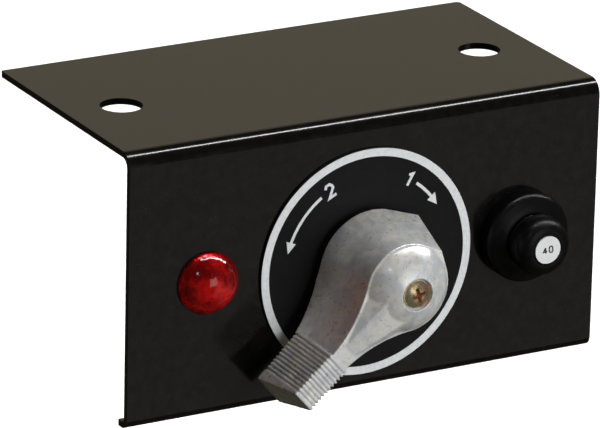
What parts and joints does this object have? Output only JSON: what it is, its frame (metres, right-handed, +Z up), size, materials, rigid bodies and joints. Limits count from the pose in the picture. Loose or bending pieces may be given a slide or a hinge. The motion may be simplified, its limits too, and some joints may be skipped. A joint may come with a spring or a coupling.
{
  "type": "motor control panel",
  "caption": "Folded steel bracket with a drilled top flange carrying a red pilot light, a rotary reversing switch with a cast lever, and a push-to-reset breaker under a rubber boot.",
  "frame": {"origin": "midway between the two mounting holes, on the flange's top face", "axes": "+Z up out of the mounting flange, +X to the right along the panel, +Y to the rear; the controls face -Y"},
  "size_m": [0.1524, 0.1123, 0.0822],
  "materials": {
    "black_steel": "black powder coat, fine texture, satin",
    "dial_black": "moulded black, fine matt",
    "white_print": "white print",
    "cast_lever": "die cast, tumbled, satin with bright edges",
    "yellow_zinc": "yellow passivated zinc plate",
    "zinc_steel": "clear zinc plate",
    "brass": "turned brass",
    "copper": "stamped copper",
    "black_phenolic": "compression moulded phenolic",
    "brown_phenolic": "compression moulded phenolic",
    "steel": "turned steel",
    "spring_steel": "spring steel",
    "red_lens": "clear red moulded acrylic",
    "clear_glass": "bulb glass",
    "black_nylon": "moulded nylon",
    "black_rubber": "moulded rubber",
    "white_plastic": "moulded white",
    "bimetal": "rolled bimetal strip"
  },
  "bodies": {
    "panel": {"panel_bracket": "black_steel", "dial_plate": "dial_black", "dial_ring": "white_print", "dial_marks": "white_print", "switch_bushing": "brass", "switch_nut": "zinc_steel", "switch_lock_washer": "spring_steel", "switch_cover": "black_phenolic", "switch_body": "black_phenolic", "housing_screws": "zinc_steel", "detent_spring": "spring_steel", "fixed_contacts": "copper", "terminal_studs": "brass", "stud_washers": "zinc_steel", "stud_nuts": "brass", "pilot_lens": "red_lens", "pilot_body": "black_nylon", "pilot_nut": "black_nylon", "pilot_bulb": "clear_glass", "bulb_base": "brass", "pilot_insulator": "black_phenolic", "pilot_tabs": "brass", "boot_collar": "black_nylon", "reset_boot": "black_rubber", "breaker_bushing": "brass", "breaker_case": "brown_phenolic", "breaker_cover": "brown_phenolic", "breaker_screws": "zinc_steel", "bimetal_post": "brass", "bimetal_disc": "bimetal", "bimetal_contacts": "copper", "breaker_contacts": "copper", "breaker_studs": "brass", "breaker_washers": "zinc_steel", "breaker_nuts": "brass"},
    "handle": {"lever_handle": "cast_lever", "handle_screw": "yellow_zinc", "switch_shaft": "steel", "retaining_ring": "spring_steel", "detent_wheel": "steel", "contact_rotor": "black_phenolic", "moving_contacts": "copper"},
    "reset_button": {"reset_plunger": "white_plastic", "rating_disc": "white_plastic", "rating_number": "black_nylon", "reset_spring": "spring_steel"}
  },
  "joints": [
    {"name": "lever_turn", "type": "hinge", "parent": "panel", "child": "handle", "pos_m": [-0.0004, -0.0394, -0.0432], "axis": [0, -1, 0], "range_deg": [0, 96], "deforming": ["detent_spring"]},
    {"name": "reset_press", "type": "slide", "parent": "panel", "child": "reset_button", "axis": [0, 1, 0], "range_m": [0, 0.003], "stiffness_N_per_m": 600, "springref_m": -0.002, "deforming": ["reset_boot", "reset_spring"]}
  ]
}
